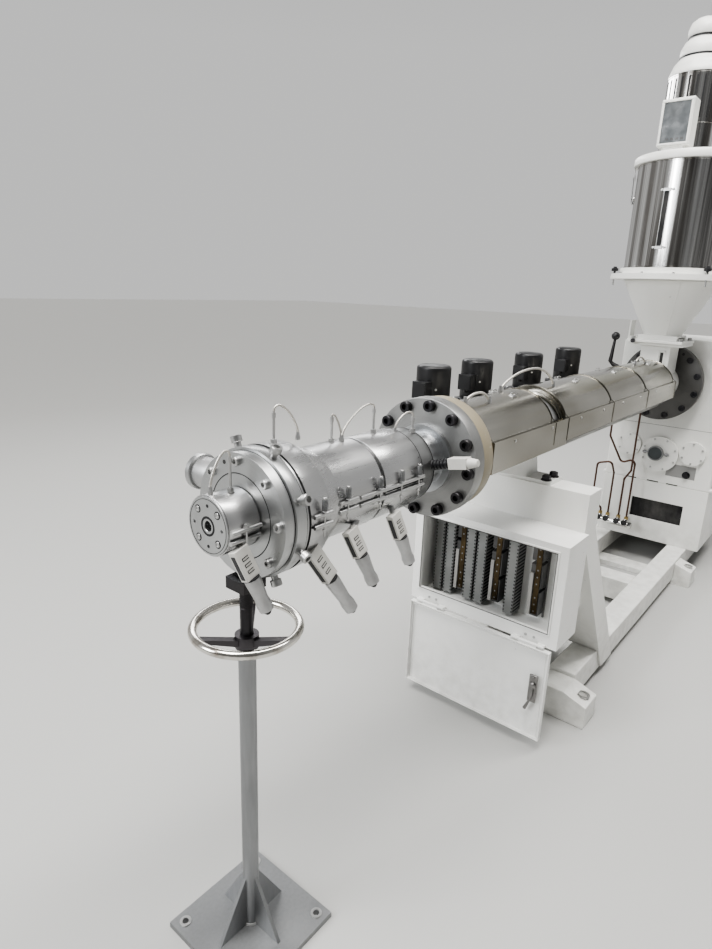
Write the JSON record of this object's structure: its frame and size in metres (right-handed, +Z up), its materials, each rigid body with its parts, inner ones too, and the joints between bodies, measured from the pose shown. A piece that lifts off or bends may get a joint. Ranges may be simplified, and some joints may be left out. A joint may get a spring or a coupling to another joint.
{
  "type": "single-screw plastic extruder",
  "caption": "Plastic extruder with a drive and gearbox, a heated barrel under steel covers, a hopper dryer, a die head on a jack and an open wiring cabinet.",
  "frame": {"origin": "on the floor under the barrel axis, at the middle of the front foot beam", "axes": "+X along the barrel axis from the die to the drive, +Y to the side with the cooling fans, +Z up"},
  "size_m": [4.15, 0.7239, 2.583],
  "materials": {
    "painted_white": "satin",
    "painted_cream": "satin",
    "cabinet_paint": "fine texture",
    "dark_paint": "satin",
    "guard_paint": "satin",
    "motor_paint": "satin",
    "turned_steel": "turned",
    "blackened_steel": "oiled",
    "stainless": "polished",
    "chrome": "polished",
    "fan_black": "matte",
    "switch_grey": "matte",
    "duct_grey": "matte",
    "copper": "dull"
  },
  "bodies": {
    "machine": {"rails": "painted_white", "cross_members": "painted_white", "foot_beams": "painted_white", "front_stand": "painted_white", "barrel_bracket": "painted_white", "cabinet_shell": "cabinet_paint", "wiring_ducts": "duct_grey", "switchgear": "switch_grey", "barrel_tube": "turned_steel", "barrel_flange": "turned_steel", "clamp_ring": "painted_cream", "zone_cover_1": "stainless", "zone_cover_2": "stainless", "zone_cover_3": "stainless", "zone_cover_4": "stainless", "lower_covers": "turned_steel", "fan_housings": "fan_black", "fan_motors": "fan_black", "feed_throat": "painted_white", "drive_flange": "dark_paint", "gearbox": "painted_white", "bearing_covers": "painted_white", "gear_stand": "painted_white", "motor_stand": "painted_white", "drive_motor": "motor_paint", "coupling_guard": "guard_paint", "cooling_manifold": "chrome", "cooling_pipes": "copper", "hopper_base": "painted_white", "hopper_cone": "stainless", "dryer_body": "stainless", "dryer_lid": "painted_white", "dryer_control": "painted_white", "dryer_fan": "stainless", "fan_cap": "painted_white", "die_adapter": "turned_steel", "die_body": "turned_steel", "die_ring": "turned_steel", "die_nose": "turned_steel", "heater_bands": "stainless", "centring_bolts": "blackened_steel", "side_inlet": "turned_steel", "jack_post": "turned_steel"},
    "door": {"cabinet_door": "cabinet_paint"},
    "gate": {"hopper_gate": "stainless"},
    "wheel": {"hand_wheel": "chrome"},
    "screw": {"jack_screw": "blackened_steel"}
  },
  "joints": [
    {"name": "door_hinge", "type": "hinge", "parent": "machine", "child": "door", "pos_m": [-0.2585, 0, 0.37], "axis": [0, 1, 0], "range_deg": [0, 180]},
    {"name": "gate_slide", "type": "slide", "parent": "machine", "child": "gate", "axis": [0, 1, 0], "range_m": [0, 0.11]},
    {"name": "wheel_turn", "type": "hinge", "parent": "machine", "child": "wheel", "pos_m": [-1.237, 0, 0.737], "axis": [0, 0, 1], "range_deg": [0, 2430]},
    {"name": "screw_lift", "type": "slide", "parent": "machine", "child": "screw", "axis": [0, 0, 1], "range_m": [-0.055, 0]}
  ],
  "couplings": [
    {"joint": "screw_lift", "follows": "wheel_turn", "m_per_rad": -0.0012732}
  ]
}
